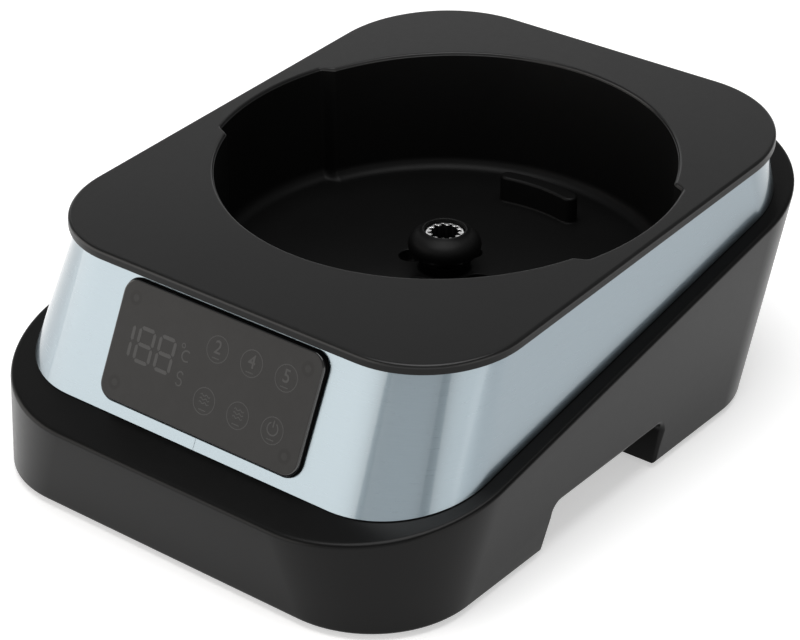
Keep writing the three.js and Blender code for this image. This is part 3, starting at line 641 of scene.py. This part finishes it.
def rays_to(shape, inset):
    """Points of a rounded rectangle along the rays from the well's axis."""
    corners = outline(shape, inset, 120)
    closed = np.vstack([corners, corners[:1]])
    dense = np.concatenate([a + (b - a) * np.linspace(0, 1, 40, endpoint=False)[:, None]
                            for a, b in zip(closed[:-1], closed[1:])])
    angle = np.mod(np.arctan2(dense[:, 1], dense[:, 0]), 2 * math.pi)
    order = np.argsort(angle)
    angle, dense = angle[order], dense[order]
    angle = np.concatenate([[angle[-1] - 2 * math.pi], angle, [angle[0] + 2 * math.pi]])
    dense = np.vstack([dense[-1], dense, dense[0]])
    return np.column_stack([np.interp(RAYS, angle, dense[:, 0]), np.interp(RAYS, angle, dense[:, 1])])


def channel_share():
    """0 on the plain wall, 1 in the two channels, with a soft step between."""
    from_side = np.abs((np.degrees(RAYS) + 90) % 180 - 90)
    step = np.clip((CHANNEL_HALF_ANGLE + 1.9 - from_side) / 3.4, 0, 1)
    return step * step * (3 - 2 * step)


def well_loop(radius, channel=CHANNEL_DEPTH, z=None, plane=None, drop=0.0):
    size = radius + channel * channel_share()
    points = np.column_stack([size * np.cos(RAYS), size * np.sin(RAYS)])
    return level(points, z) if plane is None else lifted(points, plane, drop)


def add_top():
    lip, rim_edge, deck_edge = 0.3, 0.8, 1.1
    mouth = WELL_RADIUS - 0.3
    loops = [well_loop(NECK_BORE, 0, 38), well_loop(NECK_BORE, 0, NECK_TOP - 0.4)]
    loops += [well_loop(NECK_BORE + 0.4, 0, NECK_TOP)]
    neck_edge, neck_root = 0.25, 0.8
    neck = arc_profile((NECK_RADIUS - neck_edge, NECK_TOP - neck_edge), neck_edge, 90, 0, 3)
    neck += arc_profile((NECK_RADIUS + neck_root, WELL_FLOOR + neck_root), neck_root, 180, 270, 4)
    loops += [well_loop(r, 0, z) for r, z in neck]
    loops += [well_loop(r, 0, WELL_FLOOR) for r in (11, 24, 45)]
    loops.append(well_loop(WELL_FOOT_RADIUS - WELL_FILLET - 2, z=WELL_FLOOR))
    for i in range(11):
        angle = math.pi / 2 * i / 10
        inset = WELL_FILLET * (1 - math.sin(angle))
        loops.append(well_loop(WELL_FOOT_RADIUS - inset, z=WELL_FLOOR + WELL_FILLET * (1 - math.cos(angle))))
    top = well_loop(mouth, plane=DECK_PLANE, drop=rim_edge + 0.9 * lip)
    bottom = loops[-1]
    loops += [bottom + (top - bottom) * share for share in (0.3, 0.6, 0.9)]
    for inset, drop in reversed(list(fillet(lip, 5))):
        loops.append(well_loop(mouth + inset, plane=DECK_PLANE, drop=rim_edge - 0.1 * lip + drop))
    for inset, drop in reversed(list(fillet(rim_edge, 5))):
        loops.append(well_loop(mouth + lip + 0.1 + inset, plane=DECK_PLANE, drop=0.75 * drop))
    loops.append(well_loop(mouth + lip + rim_edge + 0.6, plane=DECK_PLANE))
    loops.append(lifted(rays_to(DECK, deck_edge + 0.5), DECK_PLANE))
    loops += [lifted(rays_to(DECK, inset), DECK_PLANE, drop) for inset, drop in fillet(deck_edge, 6)]
    loops += [lifted(rays_to(DECK, inset), DECK_PLANE, DECK_EDGE - rise)
              for inset, rise in reversed(list(fillet(0.4, 3)))]
    loops.append(lifted(rays_to(DECK, 5.5), DECK_PLANE, DECK_EDGE))
    loops.append(lifted(rays_to(DECK, 5.5), DECK_PLANE, DECK_SKIN))
    skin_radius, skin_channel = WELL_RADIUS + 2.4, CHANNEL_DEPTH - 0.7
    loops.append(well_loop(skin_radius, skin_channel, plane=DECK_PLANE, drop=DECK_SKIN))
    loops.append(well_loop(skin_radius, skin_channel, 47))
    loops.append(well_loop(skin_radius - 6, skin_channel, 41))
    loops += [well_loop(BOSS_RADIUS, 0, 41), well_loop(BOSS_RADIUS, 0, BOSS_BOTTOM)]
    loops.append(well_loop(NECK_BORE, 0, BOSS_BOTTOM))
    top_piece = finish_mesh("deck_and_well", *skin(loops), "deck_plastic", replaces=["top_housing"])
    combine(top_piece, [lug_tool(90), lug_tool(270)], "UNION")
    holes = []
    for i in range(4):
        angle = math.pi / 2 * i
        profile = [(1.9, BOSS_BOTTOM - 1), (1.9, HOLE_SEAT), (HOLE_RADIUS, HOLE_SEAT)]
        profile += arc_profile((HOLE_RADIUS + 0.5, WELL_FLOOR - 0.5), 0.5, 180, 90, 4)
        profile.append((HOLE_RADIUS + 0.5, 46))
        loops = moved(lathe_loops(profile, 40), HOLE_CIRCLE * math.cos(angle), HOLE_CIRCLE * math.sin(angle))
        holes.append(raw_object("hole", *skin(loops, False, True, True)))
    combine(top_piece, holes, "DIFFERENCE", 30)
    # Second slot: painted shade on the well's floor, walls and lugs
    top_piece.data.materials.append(well_shade_material)
    top_piece.data.materials.append(rim_material)
    well_top_drop, well_reach, flat = 1.3, WELL_RADIUS + CHANNEL_DEPTH + 1, 0.99
    for face in top_piece.data.polygons:
        spot = (face.center - AXIS) / MM
        in_well = spot.xy.length < well_reach
        if spot.z > plane_height(DECK_PLANE, spot.y) - well_top_drop:
            face.material_index = 2 if 0.1 < face.normal.z < flat else 0
        elif in_well and spot.z > WELL_FLOOR - 0.1:
            face.material_index = 1
    even_normals(top_piece)


def lug_tool(direction):
    """Arc-shaped lug with round ends, soft top edges and a flared foot on the well's floor."""
    middle, half_width = (LUG_INNER + LUG_OUTER) / 2, (LUG_OUTER - LUG_INNER) / 2

    def loop(inset, z):
        points = []
        size = half_width - inset
        for share in np.linspace(-1, 1, 15):
            angle = math.radians(direction + share * LUG_HALF_ANGLE)
            points.append(((middle + size) * math.cos(angle), (middle + size) * math.sin(angle)))
        for turn in (1, -1):
            end = math.radians(direction + turn * LUG_HALF_ANGLE)
            centre = np.array([middle * math.cos(end), middle * math.sin(end)])
            start = end if turn > 0 else end + math.pi
            for i in range(1, 8):
                angle = start + math.pi * i / 8
                points.append(centre + size * np.array([math.cos(angle), math.sin(angle)]))
            if turn > 0:
                for share in np.linspace(1, -1, 15):
                    angle = math.radians(direction + share * LUG_HALF_ANGLE)
                    points.append(((middle - size) * math.cos(angle), (middle - size) * math.sin(angle)))
        return level(np.array(points), z)

    loops = [loop(-0.8, WELL_FLOOR - 0.6)]
    loops += [loop(-0.8 + 0.8 * math.sin(a), WELL_FLOOR + 0.8 - 0.8 * math.cos(a))
              for a in np.linspace(0, math.pi / 2, 4)]
    top = WELL_FLOOR + LUG_HEIGHT
    loops += [loop(inset, top - drop) for inset, drop in reversed(list(fillet(1.0, 4)))]
    return raw_object("lug", *skin(loops, False, True, True))


# ---- Touch panel ----

def add_panel():
    width, height = PANEL_SIZE
    lens_depths = [(0.3, 0.9), (0, 1.05), (0, 1.25)]
    lens_depths += [(inset, LENS_FRONT - drop) for inset, drop in reversed(list(fillet(0.85, 6)))]
    lens_depths.append((1.4, LENS_FRONT))
    lens_loops = box_loops(width - 2 * LENS_MARGIN, height - 2 * LENS_MARGIN, PANEL_RADIUS - LENS_MARGIN,
                           lens_depths, 12)
    lens = finish_mesh("touch_lens", *skin(lens_loops, False, True, True), "smoked_acrylic",
                       place=PANEL, replaces=["panel_lens"])
    lens.data.materials.append(bevel_material)
    for face in lens.data.polygons:
        face.material_index = int(0.2 < face.normal.z < 0.97)
    even_normals(lens)
    tray_depths = [(0.2, 0.3), (0, 0.4), (0, 0.7), (0.2, 0.8), (2.5, 0.8)]
    tray = box_loops(width, height, PANEL_RADIUS, tray_depths, 12)
    tray_piece = finish_mesh("panel_tray", *skin(tray, False, True, True), "black_base",
                             place=PANEL, replaces=["panel_housing"])
    body_loops = box_loops(*PANEL_BODY, 4, [(0, -TRAY_DEPTH), (0, 0.5)])
    body = raw_object("tray_body", *skin(body_loops, False, True, True), place=PANEL)
    combine(tray_piece, [body], "UNION")
    inner_width, inner_height = (side - 2 * TRAY_WALL for side in PANEL_BODY)
    hollow_loops = box_loops(inner_width, inner_height, 1.5, [(0, -TRAY_CAVITY), (0, 2)])
    hollow = raw_object("tray_hollow", *skin(hollow_loops, False, True, True), place=PANEL)
    combine(tray_piece, [hollow], "DIFFERENCE")
    # The whole tray takes the painted shade, seen as a dark line round the lens
    tray_piece.data.materials.clear()
    tray_piece.data.materials.append(groove_shade_material)
    add_print()


class Print:
    """Flat printed shapes on the lens, each a thin closed prism."""

    def __init__(self):
        self.verts, self.faces = [], []
        self.back, self.front = LENS_FRONT - 0.04, LENS_FRONT + 0.025

    def ribbon(self, points, width, closed=False):
        points = np.array(points, float)
        ahead = np.roll(points, -1, 0) - points
        behind = points - np.roll(points, 1, 0)
        if not closed:
            ahead[-1], behind[0] = behind[-1], ahead[0]
        ahead /= np.linalg.norm(ahead, axis=1)[:, None]
        behind /= np.linalg.norm(behind, axis=1)[:, None]
        along = ahead + behind
        along /= np.linalg.norm(along, axis=1)[:, None]
        side = np.column_stack([-along[:, 1], along[:, 0]]) * width / 2
        rows = [(points + side, self.front), (points - side, self.front), (points - side, self.back),
                (points + side, self.back)]
        start = len(self.verts)
        count = len(points)
        for row, z in rows:
            self.verts += [(x, y, z) for x, y in row]
        for i in range(count if closed else count - 1):
            j = (i + 1) % count
            for k in range(4):
                a, b = start + k * count, start + (k + 1) % 4 * count
                self.faces.append((a + i, b + i, b + j, a + j))
        if not closed:
            for i in (0, count - 1):
                self.faces.append(tuple(start + k * count + i for k in range(4)))

    def polygon(self, points):
        start, count = len(self.verts), len(points)
        self.verts += [(x, y, self.front) for x, y in points] + [(x, y, self.back) for x, y in points]
        self.faces.append(tuple(start + i for i in range(count)))
        self.faces.append(tuple(start + count + i for i in reversed(range(count))))
        for i in range(count):
            j = (i + 1) % count
            self.faces.append((start + i, start + count + i, start + count + j, start + j))

    def circle(self, x, y, radius, width, start=0, end=360, steps=48):
        angles = np.radians(np.linspace(start, end, steps, endpoint=end - start < 360))
        points = [(x + radius * math.cos(a), y + radius * math.sin(a)) for a in angles]
        self.ribbon(points, width, closed=end - start >= 360)


SEGMENTS = {"1": "bc", "8": "abcdefg"}


def seven_segment(sheet, digit, x, y, width, height, thick):
    """Seven-segment digit with its lower left corner at x, y."""
    half = height / 2
    gap = 0.3
    bars = {
        "a": ((0, height), (width, height)), "g": ((0, half), (width, half)), "d": ((0, 0), (width, 0)),
        "f": ((0, half), (0, height)), "b": ((width, half), (width, height)),
        "e": ((0, 0), (0, half)), "c": ((width, 0), (width, half)),
    }
    for name in SEGMENTS[digit]:
        (x0, y0), (x1, y1) = bars[name]
        along = np.array([x1 - x0, y1 - y0], float)
        along /= np.linalg.norm(along)
        across = np.array([-along[1], along[0]]) * thick / 2
        start = np.array([x + x0, y + y0]) + along * gap
        end = np.array([x + x1, y + y1]) - along * gap
        tip = along * thick / 2
        sheet.polygon([start, start + tip - across, end - tip - across, end, end - tip + across,
                       start + tip + across])


KEY_COLUMNS = (0.8, 15.0, 29.3)
KEY_ROWS = (17.2, 34.5)
KEY_RADIUS = 4.35

# width, height, stroke
DIGIT_SIZE = (6.2, 11.0, 1.25)
DIGIT_START, DIGIT_PITCH, DIGIT_FOOT = -40.0, 8.9, 20.6


def add_print():
    sheet = Print()
    up = -PANEL_CENTRE
    for x in KEY_COLUMNS:
        for y in KEY_ROWS:
            sheet.circle(x, y + up, KEY_RADIUS, 0.26)
    for place, digit in enumerate("188"):
        seven_segment(sheet, digit, DIGIT_START + place * DIGIT_PITCH, DIGIT_FOOT + up, *DIGIT_SIZE)
    sheet.circle(-12.6, 31.4 + up, 0.7, 0.35, steps=20)
    sheet.circle(-10.6, 28.4 + up, 1.75, 0.5, 50, 310, 20)
    sheet.circle(-11.0, 21.9 + up, 1.15, 0.45, 20, 270, 18)
    sheet.circle(-11.0, 19.6 + up, 1.15, 0.45, -160, 90, 18)
    for x in KEY_COLUMNS:
        for y in KEY_ROWS:
            sheet.ribbon([(x - 1.5, y + up - 3.0), (x + 1.5, y + up - 3.0)], 0.3)
    power_x, power_y = KEY_COLUMNS[2], KEY_ROWS[0] + up + 0.6
    sheet.circle(power_x, power_y, 2.1, 0.45, 120, 420, 28)
    sheet.ribbon([(power_x, power_y + 0.5), (power_x, power_y + 2.7)], 0.45)
    for x in KEY_COLUMNS[:2]:
        for row in range(3):
            wave = [(x - 2 + 0.25 * i, KEY_ROWS[0] + up - 0.7 + 1.25 * row + 0.3 * math.sin(i * 0.8))
                    for i in range(17)]
            sheet.ribbon(wave, 0.3)
    piece = finish_mesh("panel_print", sheet.verts, sheet.faces, "smoked_acrylic", place=PANEL, sharp=30)
    piece.data.materials.clear()
    piece.data.materials.append(print_material)
    for digit, x in zip("245", KEY_COLUMNS):
        curve = bpy.data.curves.new("key_digit_" + digit, "FONT")
        curve.body = digit
        curve.size = 6.2 * MM
        curve.offset = 0.05 * MM
        curve.extrude = 0.03 * MM
        curve.align_x = "CENTER"
        text = bpy.data.objects.new("text", curve)
        bpy.context.scene.collection.objects.link(text)
        place = PANEL @ Matrix.Translation(Vector((x, KEY_ROWS[1] + up - 1.4, LENS_FRONT)) * MM)
        bpy.context.view_layer.update()
        mesh = bpy.data.meshes.new_from_object(text.evaluated_get(bpy.context.evaluated_depsgraph_get()))
        bpy.data.objects.remove(text)
        piece = bpy.data.objects.new("key_digit_" + digit, mesh)
        bpy.context.scene.collection.objects.link(piece)
        piece.matrix_world = place
        mesh.materials.clear()
        mesh.materials.append(print_material)
        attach(piece, "base")


# ---- Coupling ----

def add_coupling():
    outer, root, tip, teeth, bottom, floor, top = 6.9, 5.8, 4.6, 12, 48.6, 52.0, 58.4
    steps = teeth * 16
    angles = np.linspace(0, 2 * math.pi, steps, endpoint=False)
    tooth = 0.5 + 0.5 * np.tanh(2.6 * np.cos(teeth * angles)) / math.tanh(2.6)

    def loop(radius, z, toothed=False, extra=0.0):
        size = root - (root - tip) * tooth + extra if toothed else np.full(steps, radius)
        return np.column_stack([size * np.cos(angles), size * np.sin(angles), np.full(steps, z)])

    loops = [loop(1.0, floor), loop(3.8, floor), loop(0, floor + 0.2, True), loop(0, top - 0.35, True),
             loop(0, top - 0.1, True, 0.1), loop(0, top, True, 0.35)]
    loops += [loop(r, z) for r, z in [(outer - 0.45, top), (outer - 0.15, top - 0.1), (outer, top - 0.4)]]
    loops += [loop(outer, bottom + 0.3), loop(outer - 0.3, bottom), loop(3.1, bottom), loop(3.1, 51.4),
              loop(0.5, 51.4)]
    socket = finish_mesh("drive_socket", *skin(loops, False, True, True), "bright_steel", "spindle",
                         replaces=["spline_socket"])
    socket.data.materials.append(shadow_material)
    # Faces deep inside the socket take the painted shade
    for face in socket.data.polygons:
        centre = face.center - AXIS
        if centre.xy.length < root * MM and floor - 1 < centre.z / MM < top - 2.4:
            face.material_index = 1
    even_normals(socket)
    profile = [(7.1, 48.4), (9.2, 48.4)]
    profile += arc_profile((9.3, 48.8), 0.4, -80, -30, 3)
    profile += [(10.4, 49.5), (11.5, 50.3), (12.4, 51.3), (12.9, 52.5), (13.0, 53.7), (12.7, 55.1)]
    profile += [(12.0, 56.4), (11.0, 57.4), (9.9, 58.1), (9.0, 58.5), (8.5, 58.95)]
    profile += [(8.2, 59.2), (8.05, 59.4), (7.8, 59.55), (7.45, 59.55), (7.2, 59.4), (7.1, 59.15)]
    boot = finish_mesh("rubber_boot", *skin(lathe_loops(profile, 96)), "black_rubber", "spindle", 50,
                       replaces=["coupling_boot"])
    modifier = boot.modifiers.new("smooth", "SUBSURF")
    modifier.levels = modifier.render_levels = 1


# ---- Underside, feet, screws and inlet ----

FOOT_NODES = [f"foot_{i}" for i in range(1, 5)]
COVER_SCREWS = [f"cover_screw_{i}" for i in range(1, 5)]
MOTOR_SCREWS = [f"motor_screw_{i}" for i in range(1, 5)]


def middle_of(node):
    """A node's centre in millimetres about the well's axis."""
    low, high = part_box(node)
    return ((low + high) / 2 - AXIS) / MM


def add_cover():
    def loop(inset, z):
        return level(outline(BASE_FOOT, SHELL_WALL + GAP + inset), z)

    loops = [loop(4, 0), loop(0.5, 0), loop(0.15, 0.12), loop(0, 0.5), loop(0, 2.5), loop(4, 2.5)]
    cover = finish_mesh("base_plate", *skin(loops, False, True, True), "black_base",
                        replaces=["bottom_cover"])
    cutters = [pocket_tool("pocket", side, 2.8, POCKET_INNER - 2.8, 0.01) for side in (1, -1)]
    for node in FOOT_NODES:
        place = middle_of(node)
        profile = [(8.5, -1), (8.5, 0), (8.25, 0.2), (8.2, 0.9)]
        cutters.append(raw_object("recess", *skin(moved(lathe_loops(profile, 48), place.x, place.y),
                                                  False, True, True)))
    for node in COVER_SCREWS:
        place = middle_of(node)
        profile = [(4.2, -1), (3.9, 0), (3.5, 0.35), (3.4, 1.8), (1.8, 1.8), (1.8, 4)]
        cutters.append(raw_object("screw_hole", *skin(moved(lathe_loops(profile, 40), place.x, place.y),
                                                      False, True, True)))
    vent_depths = [(-0.5, -1), (-0.5, 0), (-0.1, 0.35), (0, 0.6), (0, 4)]
    for i in range(-VENT_REACH, VENT_REACH + 1):
        slot_loops = moved(box_loops(*VENT, vent_depths, 6), i * VENT_PITCH)
        cutters.append(raw_object("vent", *skin(slot_loops, False, True, True)))
    combine(cover, cutters, "DIFFERENCE", 30)
    even_normals(cover)


def add_feet():
    for i, node in enumerate(FOOT_NODES):
        place = middle_of(node)
        profile = [(1.0, -1.75), (5.4, -1.75)] + arc_profile((6.6, -1.2), 0.8, 225, 330, 5)
        profile += [(7.7, -1.0), (8.0, -0.5), (8.0, 0.6), (7.8, 0.7), (1.0, 0.7)]
        loops = moved(lathe_loops(profile, 48), place.x, place.y)
        finish_mesh(f"rubber_foot_{i + 1}", *skin(loops, False, True, True), "black_rubber", replaces=[node])


def add_screw(name, node, head, seat, crown, shank, tip, direction):
    """Pan-head screw with a cross recess; direction is the way the head faces."""
    place = middle_of(node)
    sink = 1.3
    profile = [(0.6, tip), (shank, tip + 0.6 * direction), (shank, seat), (head - 0.1, seat),
               (head, seat + 0.4 * direction)]
    profile += [(head * 0.93, crown - 0.75 * direction), (head * 0.8, crown - 0.35 * direction),
                (head * 0.55, crown - 0.1 * direction), (head * 0.2, crown)]
    loops = moved(lathe_loops(profile, 40), place.x, place.y)
    screw = finish_mesh(name, *skin(loops, False, True, True), "bright_steel", replaces=[node])
    cutters = []
    for angle in (0.3, 0.3 + math.pi / 2):
        turn = Matrix.Rotation(angle, 4, "Z")
        spot = AXIS + Vector((place.x, place.y, crown)) * MM
        loops = box_loops(head * 1.25, 0.75, 0.2, [(0.12, -sink), (0, -sink * 0.4), (0, 1.0)], 3)
        if direction < 0:
            loops = [loop * np.array([1, 1, -1]) for loop in loops]
        place_recess = Matrix.Translation(spot) @ turn
        cutters.append(raw_object("recess", *skin(loops, False, True, True), place=place_recess))
    combine(screw, cutters, "DIFFERENCE", 30)


def add_screws():
    for i, node in enumerate(COVER_SCREWS):
        add_screw(f"case_screw_{i + 1}", node, 3.1, 3.4, 1.4, 1.5, 12.0, -1)
    for i, node in enumerate(MOTOR_SCREWS):
        add_screw(f"mounting_screw_{i + 1}", node, 3.4, 35.2, 37.6, 1.5, 28.6, 1)


def add_inlet():
    depths = [(2.0, -20), (2.0, 0.3), (0.2, 0.3), (0, 0.5), (0, 1.1), (0.15, 1.45), (0.5, 1.6), (2.6, 1.6),
              (3.1, 1.45), (3.4, 1.1), (3.6, -17)]
    loops = box_loops(*INLET_SOCKET, depths, 8)
    body = finish_mesh("inlet_socket", *skin(loops, False, True, True), "black_base", place=INLET_PLACE,
                       replaces=["mains_inlet"])
    even_normals(body)
    pin_depths = [(0, -16.7), (0, -8.6), (0.15, -7.6), (0.5, -6.8)]
    for i, (x, y) in enumerate(INLET_PIN_PLACES):
        loops = moved(box_loops(*INLET_PIN, pin_depths, 4), x, y)
        finish_mesh(f"contact_pin_{i + 1}", *skin(loops, False, True, True), "bright_steel",
                    place=INLET_PLACE, replaces=[f"inlet_pin_{i + 1}"])


# ---- Carried-over CAD nodes ----

def dress_frame_nodes():
    slots = {row["node"]: row["material_slot"] for row in frame["record"]["subparts"]}
    for name, node in frame["nodes"].items():
        node.data.materials.clear()
        node.data.materials.append(MATERIALS[slots[name]])


dress_frame_nodes()
add_camera()
add_studio()
add_base()
add_band()
add_top()
add_panel()
add_coupling()
add_cover()
add_feet()
add_screws()
add_inlet()
